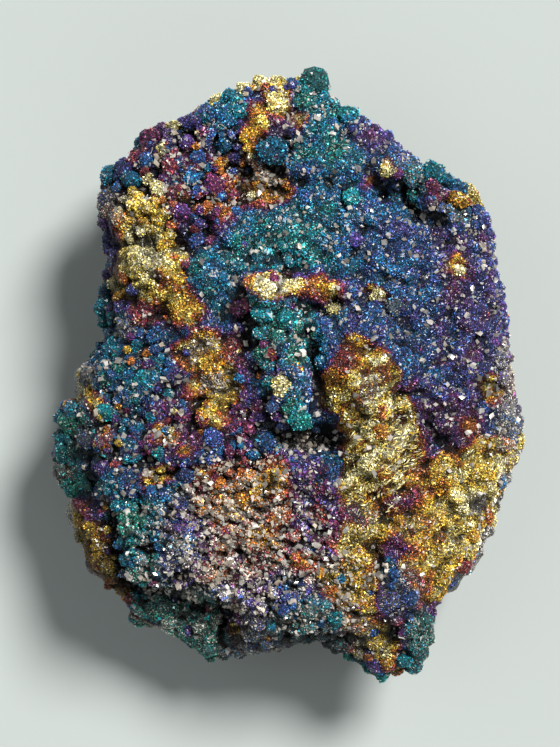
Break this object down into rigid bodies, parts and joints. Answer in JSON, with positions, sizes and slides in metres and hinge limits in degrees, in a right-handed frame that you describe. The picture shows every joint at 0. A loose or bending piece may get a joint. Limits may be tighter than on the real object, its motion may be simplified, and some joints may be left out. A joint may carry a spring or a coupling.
{
  "type": "peacock ore specimen",
  "caption": "Hand-sized broken slab of iridescent tarnished copper ore with a knobbly crystal-crusted front, lying on its broken back.",
  "frame": {"origin": "middle of the bounding box in X and Y, at the height of the flat spot on the broken back that the piece rests on", "axes": "+Z out of the crystal-covered front, +Y along the longest extent towards the narrow knobbly end, +X to the right as the front is looked at"},
  "size_m": [0.094, 0.1208, 0.0428],
  "materials": {
    "tarnished_ore": "iridescent metallic tarnish, blue, teal and purple with brass-gold patches, sparkling crystal crust",
    "grey_matrix": "rough broken rock, grey and grainy",
    "pale_crystals": "off-white to grey translucent crystals with a glassy gloss"
  },
  "bodies": {
    "root": {"peacock_ore": "tarnished_ore"}
  },
  "joints": []
}
